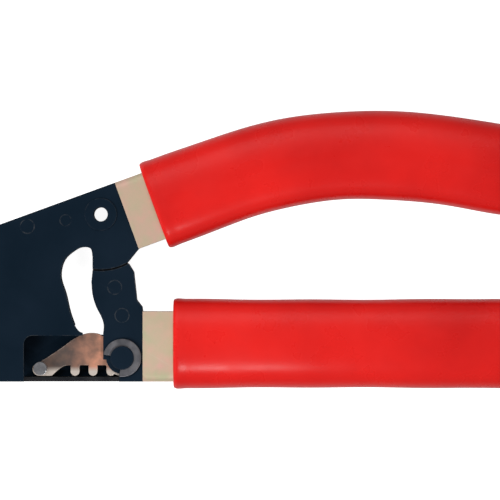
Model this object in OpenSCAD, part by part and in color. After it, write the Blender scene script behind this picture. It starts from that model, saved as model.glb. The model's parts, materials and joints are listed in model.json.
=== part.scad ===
// Wire-straining fencing pliers: two black head plates, a lever on a hollow pivot
// that carries a toothed gripping cam, and two channel handles in dipped red grips.
// The origin is the centre of the hollow pivot. X runs to the handles and Y to the
// upper handle, and the pliers lie flat with Z up.

/* [Head] */
// Distance from the pivot to the nose face
head_reach = 113; // [95:1:140]
// Distance from the pivot down to the straight bottom edge
head_drop = 59.6; // [56:0.2:72]
// Height of the flat nose face
nose_h = 18; // [14:1:24]
// Length of the slope between the nose face and the top edge
nose_run = 16; // [8:1:24]
// Distance from the pivot to the straight top edge
spine_off = 8.9; // [8:0.1:11]
// Slope of the top edge and of the upper handle, in degrees
tilt = 20; // [17:0.5:23]
// Thickness of each head plate and lever plate
plate_t = 3; // [2:0.5:4]
// Gap between the head plates
plate_gap = 6; // [5:0.5:8]
// Height of the wire channel along the bottom edge
wire_way = 5; // [4.2:0.2:7]
// Radius of the round seam between head plates and lever plates
seam_r = 19.6; // [18:0.2:21]

/* [Handles] */
// Height of the channel handles
channel_h = 25; // [21:1:30]
// Sheet thickness of the channel handles
channel_t = 2; // [1.5:0.5:3]
// Room left inside the channels for their bend
channel_bend = 3; // [2:0.5:5]
// Where the upper channel starts, along its own axis
upper_start = 8.6; // [8:0.2:12]
// Where the lower channel starts
lower_start = 15; // [14.8:0.2:20]
// Bare length of the upper handle between head and grip
upper_bare = 10; // [6:0.5:16]
// Bare length of the lower handle between lever and grip
lower_bare = 10.7; // [6:0.1:16]
// Straight length of the upper handle before its bow
upper_straight = 38; // [36:1:50]
// Radius of the bow on its head side
bow_r = 144.6; // [120:0.2:200]
// Radius of the bow on its far side
bow_far_r = 212; // [150:1:300]
// Length of the flared tail of the upper handle
upper_tail = 12; // [4:1:40]
// Straight length of the lower handle before its flare
lower_straight = 128; // [100:1:160]
// Length of the flared tail of the lower handle
lower_tail = 14; // [4:1:40]
// Length of the plate tangs inside the channels
tang_len = 33; // [24:1:34]

/* [Grips] */
// Thickness of the grip over the edges of its channel
grip_edge = 3.5; // [2:0.5:6]
// Thickness of the grip over the sides of its channel
grip_side = 2.5; // [1.5:0.5:4]
// Corner radius of the grip's section
grip_round = 6.5; // [5:0.5:7]
// How far the lower grip sits towards the upper handle
grip_shift = 1; // [0:0.5:2]

/* [Pivot] */
// Bore of the hollow pivot
eye_d = 5; // [4:0.5:6]
// Outer diameter of the hollow pivot
pivot_d = 9; // [8:0.5:10]
// Width of the rolled rims round the hollow pivot
rim_lip = 1.3; // [0.8:0.1:2]
// Wall of the bush in the lever
bush_wall = 1.5; // [1:0.25:2]
// Diameter of the thrust washers
washer_d = 15; // [14:0.25:15.5]
// Thickness of each thrust washer
washer_t = 0.9; // [0.6:0.1:1.2]
// How far the lever's eye stays below the head's top edge
eye_under = 0.5; // [0.3:0.1:0.8]

/* [Cam] */
// Distance from the pivot to the cam pin, towards the handles
cam_x = 7.7; // [7:0.1:8.5]
// Height of the cam pin over the bottom edge
cam_rise = 8.5; // [8.4:0.1:9]
// Diameter of the cam pin
pin_d = 8.4; // [7:0.2:9]
// Play of the cam between the lever's plates, on each side
cam_play = 0.4; // [0.2:0.1:0.8]
// Width of each tooth of the cam
tooth_w = 3.2; // [2.4:0.1:3.8]
// Spacing of the teeth
tooth_pitch = 6.4; // [5.4:0.1:7]
// Thickness of the wire rest under the teeth
rest_t = 1.7; // [1.2:0.1:2]
// Diameter of the release stud
stud_d = 4.8; // [3.6:0.2:5.2]
// How far the release stud stands in front of the cam
stud_reach = 5; // [3:0.5:8]
// Width of the retaining ring outside the pin
clip_wide = 2.6; // [1.8:0.1:3.4]
// How much further left the bay of the rear head plate reaches than the front one
bay_step = 1.4; // [1:0.1:2]

/* [Fasteners and springs] */
// Diameter of the rivets
rivet_d = 5; // [3:0.5:6]
// Diameter of the stop pin and of the spring's anchor pin
dowel_d = 4; // [3:0.5:4.5]
// Outer diameter of the return spring
spring_d = 5; // [4:0.25:5.5]
// Wire diameter of the return spring
spring_wire = 0.9; // [0.7:0.1:1.2]

/* [Fits] */
// Radial clearance of each turning fit
run_clear = 0.05; // [0.02:0.01:0.1]
// Side clearance between parts that slide on each other
side_clear = 0.3; // [0.2:0.05:0.4]
// Gap across the seam between head plates and lever plates
seam_gap = 0.6; // [0.4:0.1:1]

/* [Hidden] */
$fn = 64;

eps = 0.01;
base = -head_drop;              // the straight bottom edge
half_gap = plate_gap / 2;       // inner face of the plates
half_head = half_gap + plate_t; // outer face of the plates
cam_t = plate_gap - 2 * cam_play;
rim_d = pivot_d + 2 * rim_lip;
clip_d = pin_d + 2 * clip_wide;
channel_w = 2 * (half_head + channel_t);
axis_v = spine_off - channel_h / 2;      // middle of the upper handle, across it
axis_low = base + channel_h / 2;         // middle of the lower handle
grip_start = upper_start + upper_bare;
cam_y = base + cam_rise;
cam_c = [cam_x, cam_y];
rest_top = base + rest_t;
tooth_foot = rest_top + side_clear;
hub_r = cam_rise - rest_t - side_clear;
lever_r = seam_r + seam_gap;
lever_eye_r = spine_off - eye_under;
rim_t = 0.4;                             // height of the rims of the hollow pivot
head_mount_z = half_head + rim_t;

// Window between the head plates and the lever: x, and how far down it lies
window_top = -11.7;
window_foot = base + 17.2;
window_left = [[-9.3, 0.9], [-10.9, 0.75], [-12.3, 0.55], [-14.2, 0.34],
    [-12.9, 0.15], [-8.8, 0.03], [-6, 0], [-3.5, 0.02], [-2.9, 0.12]];
window_right = [[-3.3, 0.4], [-2.9, 0.55], [-1.6, 0.69], [0.4, 0.82], [1.1, 0.91],
    [0.9, 1]];
// Where the front plate closes the window's lower left corner
window_sill = [[-6.4, 0.995], [-7.9, 0.97]];
neck_x = -2.9;    // right edge of the head plates under the window's top
neck_drop = 2.6;  // how far that edge reaches below the window's top

// Cut in the head plates that leaves the cam free
cam_bay_x = -27.4;
cam_bay_top = base + 16.4;
bay_r = 3;                           // its corner
rear_bay_x = cam_bay_x - bay_step;
rear_bay_top = window_foot;
rear_sill = 2.2;                     // flat length beside the window's foot
rear_lever_x = rear_bay_x + seam_gap + 0.4;
// Wire-cutter notch between the head plates and the lever
notch_angle = -60.5;
notch_lip = [11.8, -20.5];
// Mouth of the cutter in the lever core
notch_root = [8.9, -16.2];
// Ear of the lever core, stop pin and anchor pin
ear = [-9.5, -6.5];
ear_r = 3.2;
ear_t = 2.6;
stop_gap = 0.1;
stop_at = ear + (ear_r + dowel_d / 2 + stop_gap) * [ear[1], -ear[0]] / norm(ear);
anchor_at = at_tilt([-44, -1.6]);

head_rivet_at = [[-head_reach + 9, base + 13], [-head_reach + 22, base + 22],
    [-62, base + 12], [-46, base + 12],
    at_tilt([-66, spine_off - 4]), at_tilt([-26, spine_off - 4])];
upper_rivet_at = [at_tilt([grip_start + 7, axis_v]),
    at_tilt([upper_start + tang_len - 5, axis_v])];
lower_rivet_at = [[lower_start + lower_bare + 6, axis_low],
    [lower_start + tang_len - 5, axis_low]];
lever_rivet_at = [[5, -26], [7.6, base + 23.6]];

nose_block_len = 30;
spine_h = 6.6;       // height of the bar under the top edge
spine_end = -18;     // where that bar ends, along the top edge
guide_x = [-70, -38];  // ends of the wire guide
guide_h = 13;
guide_cut = 4;       // its upper corners
core_x = 7.8;        // straight edge of the lever core beside the pivot
sill_x = 0.9;        // left edge of the front lever plate under the window

// Where the spring's leg enters the front lever plate
leg_at = cam_c + (pin_d / 2 + 0.85) * [cos(50), sin(50)];
leg_d = 0.9;
cam_leg = 5.6;  // length of the spring's leg in the cam

black_steel = [0.10, 0.13, 0.18];
dark_steel = [0.2, 0.21, 0.24];
zinc = [0.76, 0.67, 0.55];
red_pvc = [0.85, 0.15, 0.14];
bright = [0.8, 0.8, 0.82];
bronze = [0.72, 0.43, 0.3];

// A point given along and across the upper handle, in the part's frame
function at_tilt(p) = [p[0] * cos(tilt) - p[1] * sin(tilt),
    p[0] * sin(tilt) + p[1] * cos(tilt)];
// A window point: x as given, y between the window's top and foot
function window_points(list) = [for (p = list)
    [p[0], window_top + p[1] * (window_foot - window_top)]];
// A smooth curve through the points of a list
function spline(p, n = 5) = [for (i = [0:len(p) - 2]) for (k = [0:n - 1])
    let (a = p[max(i - 1, 0)], b = p[i], c = p[i + 1], d = p[min(i + 2, len(p) - 1)],
        t = k / n)
    0.5 * (2 * b + (c - a) * t + (2 * a - 5 * b + 4 * c - d) * t * t
        + (3 * b - a - 3 * c + d) * t * t * t)];
// Points round a centre
function arc(c, r, from, to, n = 12) = [for (i = [0:n])
    c + r * [cos(from + (to - from) * i / n), sin(from + (to - from) * i / n)]];

// Height of the top edge over a given x
function spine_y(x) = (spine_off + x * sin(tilt)) / cos(tilt);

module slab(z0, z1) {
    translate([0, 0, z0])
        linear_extrude(z1 - z0)
            children();
}

module pin_at(p, d, z0, z1) {
    translate([p[0], p[1], z0])
        cylinder(d = d, h = z1 - z0);
}

module pins(list, d, z0, z1) {
    for (p = list)
        pin_at(p, d, z0, z1);
}

// A frame, [x, y, heading], moved along a share t of a stretch, [length, turn]; the
// stretch turns left if turn is above 0
function moved(f, s, t) = s[1] == 0
    ? [f[0] + s[0] * t * cos(f[2]), f[1] + s[0] * t * sin(f[2]), f[2]]
    : let (r = s[0] / s[1] * 180 / PI, h = f[2] + s[1] * t)
        [f[0] + r * (sin(h) - sin(f[2])), f[1] - r * (cos(h) - cos(f[2])), h];
// Frames along a list of stretches, one for every few degrees of turn
function frames(path, f, i = 0) = i == len(path) ? [f]
    : let (n = max(1, ceil(abs(path[i][1]) / 2.5)))
        concat([for (k = [0:n - 1]) moved(f, path[i], k / n)],
            frames(path, moved(f, path[i], 1), i + 1));
// The point beside a frame
function beside(f, w) = [f[0] - w * sin(f[2]), f[1] + w * cos(f[2])];

// Strip along the frames between two offsets
module strip(f, w0, w1) {
    n = len(f) - 1;
    polygon(concat([for (i = [0:n]) beside(f[i], w0)],
        [for (i = [n:-1:0]) beside(f[i], w1)]));
}

function arc_len(r, turn) = r * abs(turn) * PI / 180;
far_turn = 10;
tail_turn = 14;
tail_r = 110;
waist = 10;
lower_flare = 6;
lower_flare_r = 150;

// The upper handle's stretches, from a start along its axis
function upper_path(from) = [[upper_start + upper_straight - from, 0],
    [arc_len(bow_r, tilt), -tilt], [arc_len(bow_far_r, far_turn), -far_turn],
    [waist, 0], [arc_len(tail_r, tail_turn), tail_turn], [upper_tail, 0]];
function lower_path(from) = [[lower_start + lower_straight - from, 0],
    [arc_len(lower_flare_r, lower_flare), -lower_flare], [lower_tail, 0]];

function upper_frames(from) = let (p = at_tilt([from, axis_v]))
    frames(upper_path(from), [p[0], p[1], tilt]);
function lower_frames(from) = frames(lower_path(from), [from, axis_low, 0]);

// Bent channel along the frames; side is 1 if its web is on the left
module channel(f, side) {
    half = channel_h / 2;
    difference() {
        slab(-channel_w / 2, channel_w / 2)
            strip(f, -half, half);
        slab(-half_head, half_head)
            strip([for (i = [0:len(f) - 1])
                i == 0 ? moved(f[0], [-1, 0], 1)
                : i == len(f) - 1 ? moved(f[i], [1, 0], 1) : f[i]],
                side * (-half - 1), side * (half - channel_t));
    }
}

grip_w = channel_h / 2 + grip_edge;  // half of the grip's height
grip_z = channel_w / 2 + grip_side;  // half of the grip's thickness
grip_cap = 12;                       // length of the grip's closed end
mouth_round = 1;                     // rounding at the grip's mouth

// Section of a grip, made smaller by a share and by a margin
function grip_section(share, margin) = let (r = grip_round, a = grip_w - r, b = grip_z - r)
    [for (q = [0:3]) for (k = [0:4]) let (t = 90 * q + 22.5 * k,
        x = (q == 0 || q == 3 ? a : -a) + r * cos(t), y = (q < 2 ? b : -b) + r * sin(t))
        share * [x * (1 - margin / grip_w), y * (1 - margin / grip_z)]];
// A section's points round a frame, moved aside by shift
function ring(f, section, shift) = [for (p = section)
    let (q = beside(f, p[0] + shift)) [q[0], q[1], p[1]]];

// Dipped sleeve along the frames, with a rounded mouth and a closed round end
module sleeve(f, shift) {
    n = len(f) - 1;
    m = mouth_round;
    rings = concat(
        [ring(f[0], grip_section(1, m), shift),
            ring(moved(f[0], [0.3 * m, 0], 1), grip_section(1, 0.3 * m), shift),
            ring(moved(f[0], [m, 0], 1), grip_section(1, 0), shift)],
        [for (i = [1:n]) ring(f[i], grip_section(1, 0), shift)],
        [for (a = [20:20:80]) ring(moved(f[n], [grip_cap * sin(a), 0], 1),
            grip_section(cos(a), 0), shift)]);
    k = len(rings[0]);
    last = len(rings) - 1;
    polyhedron([for (r = rings) for (p = r) p],
        concat([[for (j = [0:k - 1]) k - 1 - j]],
            [for (i = [0:last - 1]) for (j = [0:k - 1]) let (j2 = (j + 1) % k)
                [i * k + j, i * k + j2, (i + 1) * k + j2, (i + 1) * k + j]],
            [[for (j = [0:k - 1]) last * k + j]]));
}

module grip(f, shift) {
    g = concat([moved(f[0], [-1, 0], 1)], [for (i = [1:len(f) - 1]) f[i]]);
    color(red_pvc)
        difference() {
            sleeve(f, shift);
            slab(-channel_w / 2, channel_w / 2)
                strip(g, -channel_h / 2, channel_h / 2);
        }
}

// Outline of a head plate: nose, bay for the cam, window, seam, notch and tang. The
// front plate has a sill at the window's foot, and the rear one a wider bay
module cheek_outline(front) {
    left = window_points(front ? concat(window_sill, window_left) : window_left);
    bay_x = front ? cam_bay_x : rear_bay_x;
    bay_top = front ? cam_bay_top : rear_bay_top;
    x_slope = -head_reach + nose_run;
    end_u = upper_start + tang_len;
    tang_top = spine_off - channel_t - channel_bend / 2;
    tang_foot = spine_off - channel_h + 1;
    seam_from = -90 - asin(-neck_x / seam_r);
    polygon(concat(
        [[-head_reach, base], [bay_x, base]],
        arc([bay_x + bay_r, bay_top - bay_r], bay_r, 180, 90, 5),
        [[left[0][0] - (front ? 0 : rear_sill), bay_top]],
        spline(left),
        [[neck_x, window_top - neck_drop]],
        arc([0, 0], seam_r, seam_from, notch_angle, 10),
        [at_tilt([upper_start, spine_off - channel_h]),
            at_tilt([upper_start, tang_foot]), at_tilt([end_u, tang_foot]),
            at_tilt([end_u, tang_top]), at_tilt([upper_start, tang_top]),
            at_tilt([upper_start, spine_off])],
        [[x_slope, spine_y(x_slope)], [-head_reach, base + nose_h]]));
}

module cheek(z0, z1, front) {
    difference() {
        slab(z0, z1)
            cheek_outline(front);
        pin_at([0, 0], pivot_d, z0 - 1, z1 + 1);
        pins(head_rivet_at, rivet_d, z0 - 1, z1 + 1);
        pins(upper_rivet_at, rivet_d, z0 - 1, z1 + 1);
        pins([stop_at, anchor_at], dowel_d, z0 - 1, z1 + 1);
    }
}

module front_cheek() {
    color(black_steel)
        cheek(half_gap, half_head, true);
}

module rear_cheek() {
    color(black_steel)
        cheek(-half_head, -half_gap, false);
}

// Hardened block that carries the nose face
module nose_block() {
    x_slope = -head_reach + nose_run;
    x_end = -head_reach + nose_block_len;
    color(dark_steel)
        difference() {
            slab(-half_gap, half_gap)
                polygon([[-head_reach, base + wire_way], [x_end, base + wire_way],
                    [x_end, spine_y(x_end)], [x_slope, spine_y(x_slope)],
                    [-head_reach, base + nose_h]]);
            pins([head_rivet_at[0], head_rivet_at[1]], rivet_d, -half_head, half_head);
        }
}

// Bar that closes the top edge between the plates
module spine_spacer() {
    u0 = (-head_reach + nose_block_len) / cos(tilt) + spine_off * tan(tilt) + 1;
    color(black_steel)
        difference() {
            slab(-half_gap, half_gap)
                polygon([for (p = [[u0 + 2, spine_off - spine_h],
                    [spine_end, spine_off - spine_h], [spine_end, spine_off],
                    [u0, spine_off]]) at_tilt(p)]);
            pins([head_rivet_at[4], head_rivet_at[5]], rivet_d, -half_head, half_head);
        }
}

// Block over the wire channel that keeps the wire in line with the cam
module wire_guide() {
    x0 = guide_x[0];
    x1 = guide_x[1];
    way = base + wire_way;
    top = way + guide_h;
    color(dark_steel)
        difference() {
            slab(-half_gap, half_gap)
                polygon([[x0, way], [x1, way], [x1, top - guide_cut],
                    [x1 - guide_cut, top], [x0 + guide_cut, top], [x0, top - guide_cut]]);
            pins([head_rivet_at[2], head_rivet_at[3]], rivet_d, -half_head, half_head);
        }
}

module head_rivets() {
    color(black_steel)
        pins(head_rivet_at, rivet_d, -half_head, half_head);
}

// Hollow rivet that the lever turns on, with a rolled rim at each end
module pivot_tube() {
    color(black_steel)
        difference() {
            union() {
                pin_at([0, 0], pivot_d, -half_head, half_head);
                pin_at([0, 0], rim_d, half_head, head_mount_z);
                pin_at([0, 0], rim_d, -head_mount_z, -half_head);
            }
            pin_at([0, 0], eye_d, -head_mount_z - 1, head_mount_z + 1);
        }
}

module stop_pin() {
    color(black_steel)
        pin_at(stop_at, dowel_d, -half_head, half_head);
}

module spring_anchor_pin() {
    color(black_steel)
        pin_at(anchor_at, dowel_d, -half_head, half_head);
}

// Filler between the plate tangs inside the upper channel
module upper_spacer() {
    u0 = lever_eye_r + 4.6;
    u1 = upper_start + tang_len;
    v0 = spine_off - channel_h + 1;
    v1 = spine_off - channel_t - channel_bend / 2;
    color(dark_steel)
        difference() {
            slab(-half_gap, half_gap)
                polygon([for (p = [[u0, v0], [u1, v0], [u1, v1], [u0, v1]]) at_tilt(p)]);
            pins(upper_rivet_at, rivet_d, -half_head, half_head);
        }
}

module upper_handle() {
    color(zinc)
        difference() {
            channel(upper_frames(upper_start), 1);
            pins(upper_rivet_at, rivet_d, -channel_w, channel_w);
        }
}

module upper_handle_rivets() {
    color(zinc)
        pins(upper_rivet_at, rivet_d, -channel_w / 2, channel_w / 2);
}

module upper_grip() {
    grip(upper_frames(grip_start), 0);
}

// Right-hand edge of the lever, from the channel up to the cutter notch
function lever_edge() = [[lower_start, base + channel_h],
    [lower_start - 0.2, base + channel_h + 1.6],
    [lower_start - 2.1, base + channel_h + 4.1], notch_lip];
// Tang of the lever inside the lower channel
function lever_tang() = [[lower_start + tang_len, base + channel_t + channel_bend / 2],
    [lower_start + tang_len, base + channel_h - 1],
    [lower_start, base + channel_h - 1]];

// Middle plate of the lever, which turns on the pivot
module lever_core_outline() {
    right = [for (i = [0:len(window_right) - 2]) window_points(window_right)[i]];
    bay = [cam_x + hub_r + 0.8, cam_y + hub_r + 1.2];
    circle(lever_eye_r);
    translate(ear)
        circle(ear_r);
    polygon(concat([[neck_x, 0], [neck_x, -seam_r - 0.5]], spline(right),
        [right[len(right) - 1], [cam_x, bay[1]], bay,
            [bay[0], base + channel_t + channel_bend / 2]],
        lever_tang(), lever_edge(), [notch_root, [core_x, -10], [core_x, 0]]));
}

module lever_core() {
    inner = half_gap - side_clear;
    eye_z = half_gap - run_clear - washer_t;
    color(dark_steel)
        difference() {
            union() {
                slab(-inner, inner)
                    intersection() {
                        lever_core_outline();
                        circle(seam_r);
                    }
                slab(-half_gap, half_gap)
                    difference() {
                        lever_core_outline();
                        circle(seam_r);
                    }
            }
            pin_at([0, 0], pivot_d + 2 * (run_clear + bush_wall), -half_gap, half_gap);
            for (s = [-1, 1])
                translate([0, 0, s * (eye_z + half_gap / 2)])
                    cylinder(d = washer_d + 0.4, h = half_gap, center = true);
            for (s = [-1, 1])
                translate([ear[0], ear[1], s * (ear_t + half_gap) / 2])
                    cylinder(r = ear_r + 0.3, h = half_gap, center = true);
            pin_at(ear, spring_wire + 0.9, -half_gap, half_gap);
            pins(lever_rivet_at, rivet_d, -half_gap - 1, half_gap + 1);
            pins(lower_rivet_at, rivet_d, -half_gap - 1, half_gap + 1);
        }
}

// Front plate of the lever: it ends beside the window and leaves the cam in view
module front_lever_outline() {
    right = window_points(window_right);
    seam_from = -90 - asin(-neck_x / lever_r);
    difference() {
        polygon(concat(arc([0, 0], lever_r, notch_angle, seam_from, 10), spline(right),
            [[sill_x, window_foot], [sill_x, base], [lower_start, base],
                [lower_start, base + channel_t + channel_bend / 2]],
            lever_tang(), lever_edge()));
        difference() {
            translate([0, base - 1])
                square([cam_x - 1.1, cam_rise + 0.4]);
            translate(cam_c)
                circle(pin_d / 2 + 1.5);
        }
    }
}

// Rear plate of the lever: it reaches left behind the cam
module rear_lever_outline() {
    right = window_points(window_right);
    seam_from = -90 - asin(-neck_x / lever_r);
    bay = rear_lever_x;
    top = rear_bay_top - seam_gap;
    polygon(concat(arc([0, 0], lever_r, notch_angle, seam_from, 10), spline(right),
        [[sill_x, top]], arc([bay + bay_r, top - bay_r], bay_r, 90, 180, 5),
        [[bay, base], [lower_start, base],
            [lower_start, base + channel_t + channel_bend / 2]],
        lever_tang(), lever_edge()));
}

module lever_plate_holes() {
    z = half_head + 1;
    pin_at(cam_c, pin_d, -z, z);
    pins(lever_rivet_at, rivet_d, -z, z);
    pins(lower_rivet_at, rivet_d, -z, z);
}

module front_lever_plate() {
    color(black_steel)
        difference() {
            slab(half_gap, half_head)
                front_lever_outline();
            lever_plate_holes();
            pin_at(leg_at, leg_d + 0.3, 0, half_head + 1);
        }
}

module rear_lever_plate() {
    color(black_steel)
        difference() {
            slab(-half_head, -half_gap)
                rear_lever_outline();
            lever_plate_holes();
        }
}

module pivot_bush() {
    eye_z = half_gap - run_clear - washer_t;
    color("peru")
        difference() {
            pin_at([0, 0], pivot_d + 2 * (run_clear + bush_wall), -eye_z, eye_z);
            pin_at([0, 0], pivot_d + 2 * run_clear, -half_gap, half_gap);
        }
}

module thrust_washers() {
    z1 = half_gap - run_clear;
    color("peru")
        for (z = [-z1, z1 - washer_t])
            difference() {
                pin_at([0, 0], washer_d, z, z + washer_t);
                pin_at([0, 0], pivot_d + 2 * run_clear, z - 1, z + washer_t + 1);
            }
}

module lever_rivets() {
    color(black_steel)
        pins(lever_rivet_at, rivet_d, -half_head, half_head);
}

// Hardened strip along the bottom that the wire lies on
module wire_rest() {
    color(dark_steel)
        slab(-half_gap, half_gap)
            translate([rear_lever_x, base])
                square([lower_start - rear_lever_x, rest_t]);
}

module lower_handle() {
    color(zinc)
        difference() {
            channel(lower_frames(lower_start), -1);
            pins(lower_rivet_at, rivet_d, -channel_w, channel_w);
        }
}

module lower_handle_rivets() {
    color(zinc)
        pins(lower_rivet_at, rivet_d, -channel_w / 2, channel_w / 2);
}

module lower_grip() {
    grip(lower_frames(lower_start + lower_bare), grip_shift);
}

clip_t = 1.2;
pin_tip = 1.3;

// Headed pin of the cam, with a groove for the retaining ring
module cam_pin() {
    head_t = grip_z - half_head;
    color(black_steel) {
        difference() {
            pin_at(cam_c, pin_d, -half_head, half_head + clip_t + pin_tip);
            difference() {
                pin_at(cam_c, pin_d + 2, half_head, half_head + clip_t);
                pin_at(cam_c, pin_d - 1.2, half_head - 1, half_head + clip_t + 1);
            }
        }
        pin_at(cam_c, pin_d + 5, -half_head - head_t, -half_head);
    }
}

// Open spring ring in the groove of the pin
module retaining_ring() {
    color("silver")
        translate([cam_x, cam_y, half_head])
            rotate([0, 0, -100])
                rotate_extrude(angle = 270)
                    translate([pin_d / 2 - 0.6, 0])
                        square([(clip_d - pin_d) / 2 + 0.6, clip_t]);
}

tip_x = -29.2;   // middle of the arm's foot, from the cam pin

// Cam with a hub on the pin, a hump under the window, teeth and an arm
module cam_outline() {
    foot = tooth_foot - cam_y;
    gum = foot + 3.8;
    hump = window_foot - cam_y - 0.1;
    difference() {
        union() {
            circle(hub_r);
            polygon(concat(
                [[-1, hub_r - 0.2]],
                spline([[-6.2, hump - 1.4], [-9, hump], [-13, hump], [-17, hump - 1.7],
                    [-21.6, hump - 5], [-27, hump - 8.6], [-31.2, hump - 11.2]]),
                arc([tip_x - 0.4, foot + 2.5], 2.5, 160, 270, 6),
                spline([[tip_x + 4, foot], [tip_x + 6.4, foot + 2.2],
                    [tip_x + 9, gum]]),
                [[-4.1 - 2 * tooth_pitch - tooth_w / 2, gum]],
                tooth(2, foot, gum), tooth(1, foot, gum), tooth(0, foot, gum),
                [[-1, gum]]));
        }
        circle(d = pin_d + 2 * run_clear);
    }
}

// Outline of one tooth, with a round tip
function tooth(i, foot, gum) = let (x = -4.1 - i * tooth_pitch, r = tooth_w / 2)
    concat([[x - r, gum]], arc([x, foot + r], r, 180, 360, 8), [[x + r, gum]]);

module gripping_cam() {
    coil_r = pin_d / 2 + 1.6;
    color(bronze)
        translate([cam_x, cam_y, 0])
            difference() {
                slab(-cam_t / 2, cam_t / 2)
                    cam_outline();
                slab(cam_t / 2 - 2.2, cam_t / 2 + 1)
                    circle(coil_r);
                slab(cam_t / 2 - 2.2, cam_t / 2 + 1)
                    translate([-cam_leg - 1, pin_d / 2 + 0.1])
                        square([cam_leg + 1, leg_d + 0.6]);
                pin_at([tip_x, tooth_foot - cam_y + 2.7], stud_d - 1.2, -cam_t, cam_t);
            }
}

// Thumb stud pressed into the arm of the cam
module release_stud() {
    at = cam_c + [tip_x, tooth_foot - cam_y + 2.7];
    color(bright) {
        pin_at(at, stud_d - 1.2, -cam_t / 2, cam_t / 2);
        pin_at(at, stud_d, cam_t / 2, cam_t / 2 + stud_reach);
    }
}

// Closing spring of the cam: a flat coil in the hub, one leg in the cam and one in
// the front lever plate
module cam_spring() {
    z = cam_t / 2 - 2.1;
    r = pin_d / 2 + run_clear + 0.3;
    color("silver") {
        translate([cam_x, cam_y, z]) {
            difference() {
                cylinder(r = r + leg_d, h = 2 * leg_d);
                translate([0, 0, -1])
                    cylinder(r = r, h = 2 * leg_d + 2);
            }
            translate([-cam_leg, r, 0])
                cube([cam_leg, leg_d, leg_d]);
        }
        pin_at(leg_at, leg_d, z + leg_d, half_head - 0.5);
    }
}

// Return spring between the lever's ear and its anchor pin, with a loop at each end
module return_spring() {
    span = norm(anchor_at - ear);
    dir = (anchor_at - ear) / span;
    loop_r = dowel_d / 2 + 0.2 + spring_wire / 2;
    body_r = (spring_d - spring_wire) / 2;
    body_from = ear_r + 1.6;
    body_to = span - loop_r - 1.2;
    turn = atan2(dir[1], dir[0]);
    color("silver")
        translate([ear[0], ear[1], 0])
            rotate([0, 0, turn]) {
                rotate([90, 0, 90])
                    translate([0, 0, body_from])
                        linear_extrude(body_to - body_from)
                            difference() {
                                circle(d = spring_d);
                                circle(d = spring_d - 2 * spring_wire);
                            }
                translate([span, 0, 0])
                    rotate_extrude()
                        translate([loop_r, 0])
                            circle(d = spring_wire, $fn = 40);
                translate([body_to - 0.4, 0, -spring_wire / 2])
                    cube([span - loop_r - body_to + 0.4, body_r, spring_wire]);
                for (s = [-1, 1])
                    translate([-0.6, -spring_wire / 2, s * (half_gap - 0.75)
                        - spring_wire / 2])
                        cube([body_from + 1, spring_wire, spring_wire]);
                pin_at([0, 0], spring_wire, -half_gap + 0.4, half_gap - 0.4);
            }
}

front_cheek();
rear_cheek();
nose_block();
spine_spacer();
wire_guide();
head_rivets();
pivot_tube();
stop_pin();
spring_anchor_pin();
upper_spacer();
upper_handle();
upper_handle_rivets();
upper_grip();
lever_core();
front_lever_plate();
rear_lever_plate();
pivot_bush();
thrust_washers();
lever_rivets();
wire_rest();
lower_handle();
lower_handle_rivets();
lower_grip();
cam_pin();
retaining_ring();
gripping_cam();
release_stud();
cam_spring();
return_spring();
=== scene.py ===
import json
import math

import bmesh
import bpy
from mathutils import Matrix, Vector


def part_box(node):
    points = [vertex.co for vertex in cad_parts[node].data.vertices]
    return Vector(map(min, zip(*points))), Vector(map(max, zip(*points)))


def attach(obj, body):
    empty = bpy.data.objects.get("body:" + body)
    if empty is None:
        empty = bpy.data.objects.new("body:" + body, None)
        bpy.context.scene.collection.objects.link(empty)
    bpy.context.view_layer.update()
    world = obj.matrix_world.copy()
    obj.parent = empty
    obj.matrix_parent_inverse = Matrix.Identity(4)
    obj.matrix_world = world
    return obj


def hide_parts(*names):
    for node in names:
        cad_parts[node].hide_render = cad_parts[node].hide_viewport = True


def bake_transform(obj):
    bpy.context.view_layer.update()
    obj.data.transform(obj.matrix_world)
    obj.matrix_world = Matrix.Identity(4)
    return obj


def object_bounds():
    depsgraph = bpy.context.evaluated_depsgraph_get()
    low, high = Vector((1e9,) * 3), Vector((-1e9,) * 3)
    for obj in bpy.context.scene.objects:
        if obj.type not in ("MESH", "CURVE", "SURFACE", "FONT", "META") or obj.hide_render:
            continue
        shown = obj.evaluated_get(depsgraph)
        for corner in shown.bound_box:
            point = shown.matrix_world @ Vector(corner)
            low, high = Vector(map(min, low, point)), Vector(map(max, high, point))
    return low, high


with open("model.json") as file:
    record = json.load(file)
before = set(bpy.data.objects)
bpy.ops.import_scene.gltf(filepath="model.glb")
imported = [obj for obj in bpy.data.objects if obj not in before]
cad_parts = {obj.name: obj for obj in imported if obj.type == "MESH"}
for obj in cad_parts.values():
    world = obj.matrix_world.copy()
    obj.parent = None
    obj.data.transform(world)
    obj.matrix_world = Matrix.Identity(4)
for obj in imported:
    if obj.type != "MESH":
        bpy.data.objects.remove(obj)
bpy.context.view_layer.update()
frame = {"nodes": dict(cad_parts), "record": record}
nodes = frame["nodes"]
bodyOf = {}
for bodyName, members in frame["record"]["behaviour"]["bodies"].items():
    for member in members:
        bodyOf[member] = bodyName
slotOf = {row["node"]: row["material_slot"] for row in frame["record"]["subparts"]}
mm = 0.001
print("frame loaded:", len(nodes), "nodes")


def jointNamed(name):
    joints = frame["record"]["behaviour"]["joints"]
    return next(joint for joint in joints if joint["name"] == name)


def pickOnly(piece):
    bpy.ops.object.select_all(action="DESELECT")
    piece.select_set(True)
    bpy.context.view_layer.objects.active = piece


def editMesh(piece):
    pickOnly(piece)
    bpy.ops.object.mode_set(mode="EDIT")
    bpy.ops.mesh.select_all(action="DESELECT")
    return bmesh.from_edit_mesh(piece.data)


def leaveEdit(piece):
    bmesh.update_edit_mesh(piece.data)
    bpy.ops.object.mode_set(mode="OBJECT")


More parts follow.
